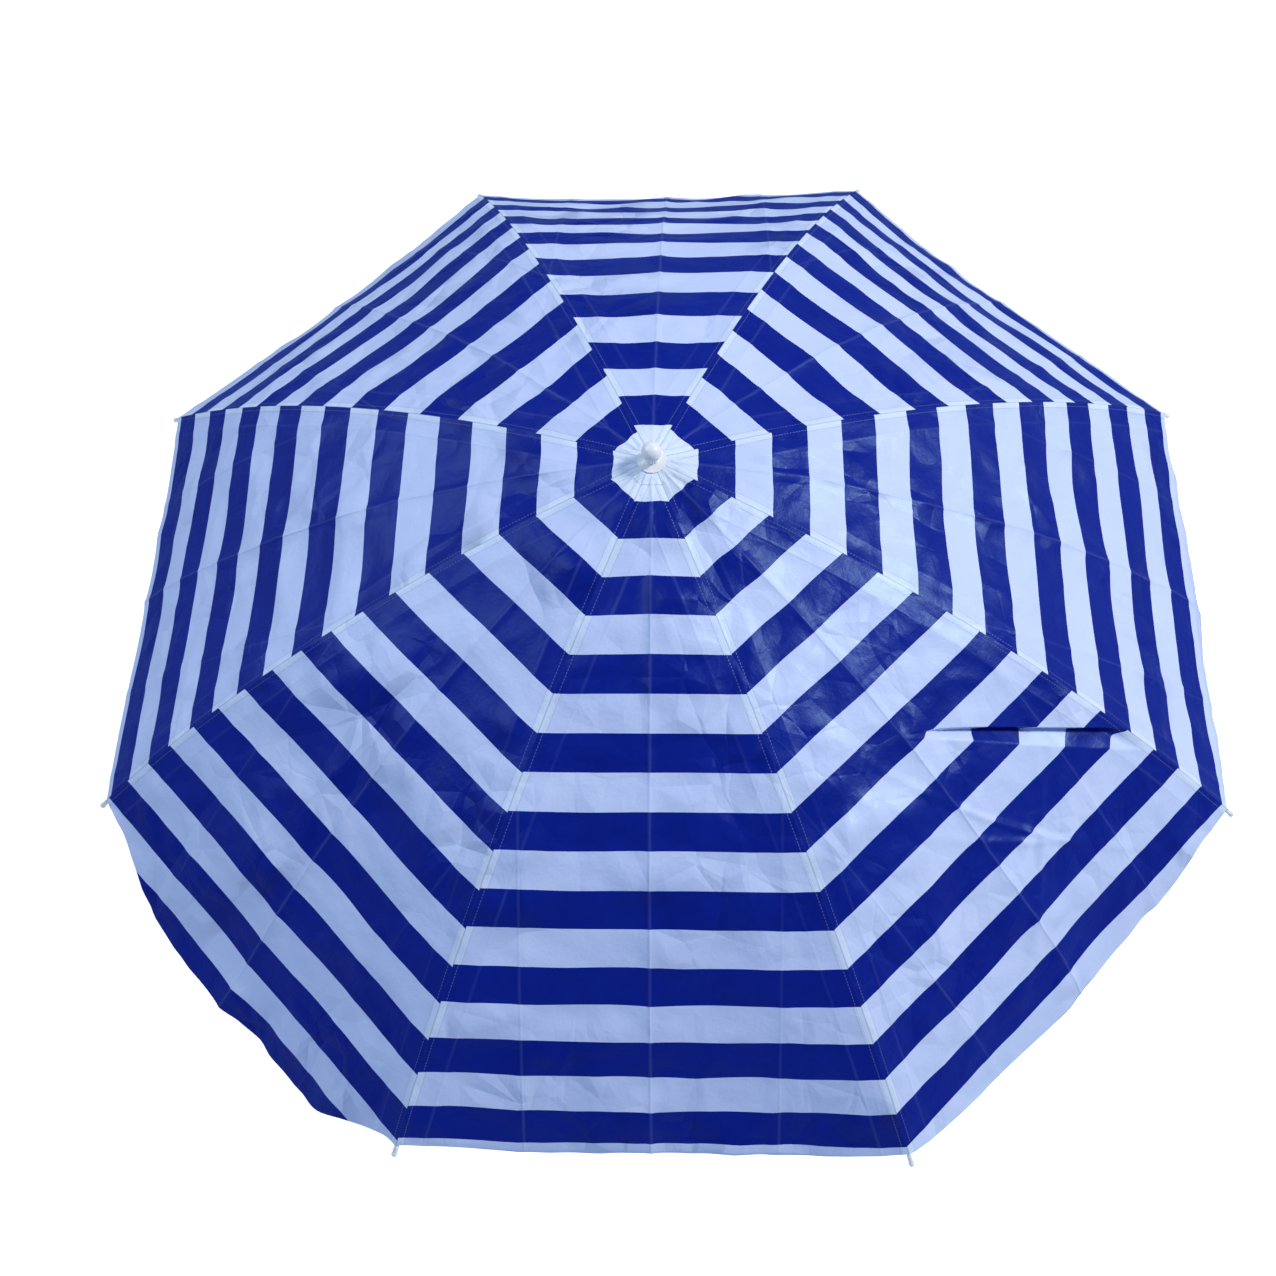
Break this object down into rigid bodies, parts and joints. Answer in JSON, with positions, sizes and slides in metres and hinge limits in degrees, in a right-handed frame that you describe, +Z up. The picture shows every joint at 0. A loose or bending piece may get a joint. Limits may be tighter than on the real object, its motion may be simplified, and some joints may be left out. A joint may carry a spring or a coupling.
{
  "type": "beach umbrella",
  "caption": "Folding beach umbrella with a striped octagonal canopy, stretchers on a sliding runner, a tilt joint and a clamped two-piece pole with a ground spike.",
  "frame": {"origin": "on the pole's axis at sand level, on the ground pole", "axes": "+Z up along the pole; the middle of one panel faces -Y, the front; +X to the right, where the clamp knob is"},
  "size_m": [1.6366, 1.6366, 2.1678],
  "materials": {
    "canopy_film": "coated striped fabric, blue and white, soft gloss",
    "patch_film": "white coated fabric, soft gloss",
    "painted_steel": "white powder coat, satin",
    "plated_steel": "zinc plated, bright",
    "white_plastic": "moulded, glossy",
    "blue_plastic": "moulded, satin gloss"
  },
  "bodies": {
    "ground_pole": {"ground_pole": "painted_steel", "ground_spike": "blue_plastic", "clamp_collar": "blue_plastic", "clamp_nut": "plated_steel"},
    "clamp_knob": {"clamp_knob": "blue_plastic"},
    "lower_mast": {"lower_mast": "painted_steel", "slide_bush": "blue_plastic", "tilt_fork": "blue_plastic", "tilt_pin": "plated_steel"},
    "tilt_button": {"tilt_button": "white_plastic"},
    "upper_mast": {"tilt_tongue": "blue_plastic", "upper_mast": "painted_steel", "top_notch": "white_plastic", "notch_wire": "plated_steel", "crown_patch": "patch_film", "finial": "white_plastic"},
    "runner_catch": {"runner_catch": "plated_steel"},
    "rib_1": {"rib_1": "painted_steel", "rib_clip_1": "white_plastic", "rib_tip_1": "white_plastic", "canopy_1": "canopy_film"},
    "rib_2": {"rib_2": "painted_steel", "rib_clip_2": "white_plastic", "rib_tip_2": "white_plastic", "canopy_2": "canopy_film"},
    "rib_3": {"rib_3": "painted_steel", "rib_clip_3": "white_plastic", "rib_tip_3": "white_plastic", "canopy_3": "canopy_film"},
    "rib_4": {"rib_4": "painted_steel", "rib_clip_4": "white_plastic", "rib_tip_4": "white_plastic", "canopy_4": "canopy_film"},
    "rib_5": {"rib_5": "painted_steel", "rib_clip_5": "white_plastic", "rib_tip_5": "white_plastic", "canopy_5": "canopy_film"},
    "rib_6": {"rib_6": "painted_steel", "rib_clip_6": "white_plastic", "rib_tip_6": "white_plastic", "canopy_6": "canopy_film"},
    "rib_7": {"rib_7": "painted_steel", "rib_clip_7": "white_plastic", "rib_tip_7": "white_plastic", "canopy_7": "canopy_film"},
    "rib_8": {"rib_8": "painted_steel", "rib_clip_8": "white_plastic", "rib_tip_8": "white_plastic", "canopy_8": "canopy_film"},
    "stretcher_1": {"stretcher_1": "painted_steel"},
    "stretcher_2": {"stretcher_2": "painted_steel"},
    "stretcher_3": {"stretcher_3": "painted_steel"},
    "stretcher_4": {"stretcher_4": "painted_steel"},
    "stretcher_5": {"stretcher_5": "painted_steel"},
    "stretcher_6": {"stretcher_6": "painted_steel"},
    "stretcher_7": {"stretcher_7": "painted_steel"},
    "stretcher_8": {"stretcher_8": "painted_steel"},
    "runner": {"runner": "white_plastic", "runner_wire": "plated_steel"}
  },
  "joints": [
    {"name": "height_slide", "type": "slide", "parent": "ground_pole", "child": "lower_mast", "axis": [0, 0, 1], "range_m": [-0.16, 0.14]},
    {"name": "clamp_screw", "type": "hinge", "parent": "ground_pole", "child": "clamp_knob", "pos_m": [0.032, 0, 0.52023], "axis": [1, 0, 0], "range_deg": [0, 450]},
    {"name": "canopy_tilt", "type": "hinge", "parent": "lower_mast", "child": "upper_mast", "pos_m": [0, 0, 0.76023], "axis": [0, 1, 0], "range_deg": [-35, 35]},
    {"name": "tilt_button_press", "type": "slide", "parent": "lower_mast", "child": "tilt_button", "axis": [0, 1, 0], "range_m": [0, 0.003], "stiffness_N_per_m": 800, "springref_m": -0.004},
    {"name": "catch_press", "type": "slide", "parent": "upper_mast", "child": "runner_catch", "axis": [0, 1, 0], "range_m": [0, 0.0045], "stiffness_N_per_m": 800, "springref_m": -0.004},
    {"name": "canopy_fold", "type": "hinge", "parent": "upper_mast", "child": "rib_1", "pos_m": [0.01571, 0.00651, 1.74318], "axis": [-0.3827, 0.9239, 0], "range_deg": [0, 61], "deforming": ["canopy_1", "runner_catch"]},
    {"name": "rib_2_fold", "type": "hinge", "parent": "upper_mast", "child": "rib_2", "pos_m": [0.00651, 0.01571, 1.74318], "axis": [-0.9239, 0.3827, 0], "range_deg": [0, 61], "deforming": ["canopy_2"]},
    {"name": "rib_3_fold", "type": "hinge", "parent": "upper_mast", "child": "rib_3", "pos_m": [-0.00651, 0.01571, 1.74318], "axis": [-0.9239, -0.3827, 0], "range_deg": [0, 61], "deforming": ["canopy_3"]},
    {"name": "rib_4_fold", "type": "hinge", "parent": "upper_mast", "child": "rib_4", "pos_m": [-0.01571, 0.00651, 1.74318], "axis": [-0.3827, -0.9239, 0], "range_deg": [0, 61], "deforming": ["canopy_4"]},
    {"name": "rib_5_fold", "type": "hinge", "parent": "upper_mast", "child": "rib_5", "pos_m": [-0.01571, -0.00651, 1.74318], "axis": [0.3827, -0.9239, 0], "range_deg": [0, 61], "deforming": ["canopy_5"]},
    {"name": "rib_6_fold", "type": "hinge", "parent": "upper_mast", "child": "rib_6", "pos_m": [-0.00651, -0.01571, 1.74318], "axis": [0.9239, -0.3827, 0], "range_deg": [0, 61], "deforming": ["canopy_6"]},
    {"name": "rib_7_fold", "type": "hinge", "parent": "upper_mast", "child": "rib_7", "pos_m": [0.00651, -0.01571, 1.74318], "axis": [0.9239, 0.3827, 0], "range_deg": [0, 61], "deforming": ["canopy_7"]},
    {"name": "rib_8_fold", "type": "hinge", "parent": "upper_mast", "child": "rib_8", "pos_m": [0.01571, -0.00651, 1.74318], "axis": [0.3827, 0.9239, 0], "range_deg": [0, 61], "deforming": ["canopy_8"]},
    {"name": "stretcher_1_fold", "type": "hinge", "parent": "rib_1", "child": "stretcher_1", "pos_m": [0.40268, 0.16679, 1.61089], "axis": [-0.3827, 0.9239, 0], "range_deg": [-122, 0]},
    {"name": "stretcher_2_fold", "type": "hinge", "parent": "rib_2", "child": "stretcher_2", "pos_m": [0.16679, 0.40268, 1.61089], "axis": [-0.9239, 0.3827, 0], "range_deg": [-122, 0]},
    {"name": "stretcher_3_fold", "type": "hinge", "parent": "rib_3", "child": "stretcher_3", "pos_m": [-0.16679, 0.40268, 1.61089], "axis": [-0.9239, -0.3827, 0], "range_deg": [-122, 0]},
    {"name": "stretcher_4_fold", "type": "hinge", "parent": "rib_4", "child": "stretcher_4", "pos_m": [-0.40268, 0.16679, 1.61089], "axis": [-0.3827, -0.9239, 0], "range_deg": [-122, 0]},
    {"name": "stretcher_5_fold", "type": "hinge", "parent": "rib_5", "child": "stretcher_5", "pos_m": [-0.40268, -0.16679, 1.61089], "axis": [0.3827, -0.9239, 0], "range_deg": [-122, 0]},
    {"name": "stretcher_6_fold", "type": "hinge", "parent": "rib_6", "child": "stretcher_6", "pos_m": [-0.16679, -0.40268, 1.61089], "axis": [0.9239, -0.3827, 0], "range_deg": [-122, 0]},
    {"name": "stretcher_7_fold", "type": "hinge", "parent": "rib_7", "child": "stretcher_7", "pos_m": [0.16679, -0.40268, 1.61089], "axis": [0.9239, 0.3827, 0], "range_deg": [-122, 0]},
    {"name": "stretcher_8_fold", "type": "hinge", "parent": "rib_8", "child": "stretcher_8", "pos_m": [0.40268, -0.16679, 1.61089], "axis": [0.3827, 0.9239, 0], "range_deg": [-122, 0]},
    {"name": "runner_follow", "type": "hinge", "parent": "stretcher_1", "child": "runner", "pos_m": [0.01571, 0.00651, 1.47861], "axis": [-0.3827, 0.9239, 0], "range_deg": [0, 61]}
  ],
  "couplings": [
    {"joint": "rib_2_fold", "follows": "canopy_fold", "ratio": 1},
    {"joint": "rib_3_fold", "follows": "canopy_fold", "ratio": 1},
    {"joint": "rib_4_fold", "follows": "canopy_fold", "ratio": 1},
    {"joint": "rib_5_fold", "follows": "canopy_fold", "ratio": 1},
    {"joint": "rib_6_fold", "follows": "canopy_fold", "ratio": 1},
    {"joint": "rib_7_fold", "follows": "canopy_fold", "ratio": 1},
    {"joint": "rib_8_fold", "follows": "canopy_fold", "ratio": 1},
    {"joint": "stretcher_1_fold", "follows": "canopy_fold", "ratio": -2},
    {"joint": "stretcher_2_fold", "follows": "canopy_fold", "ratio": -2},
    {"joint": "stretcher_3_fold", "follows": "canopy_fold", "ratio": -2},
    {"joint": "stretcher_4_fold", "follows": "canopy_fold", "ratio": -2},
    {"joint": "stretcher_5_fold", "follows": "canopy_fold", "ratio": -2},
    {"joint": "stretcher_6_fold", "follows": "canopy_fold", "ratio": -2},
    {"joint": "stretcher_7_fold", "follows": "canopy_fold", "ratio": -2},
    {"joint": "stretcher_8_fold", "follows": "canopy_fold", "ratio": -2},
    {"joint": "runner_follow", "follows": "canopy_fold", "ratio": 1}
  ]
}
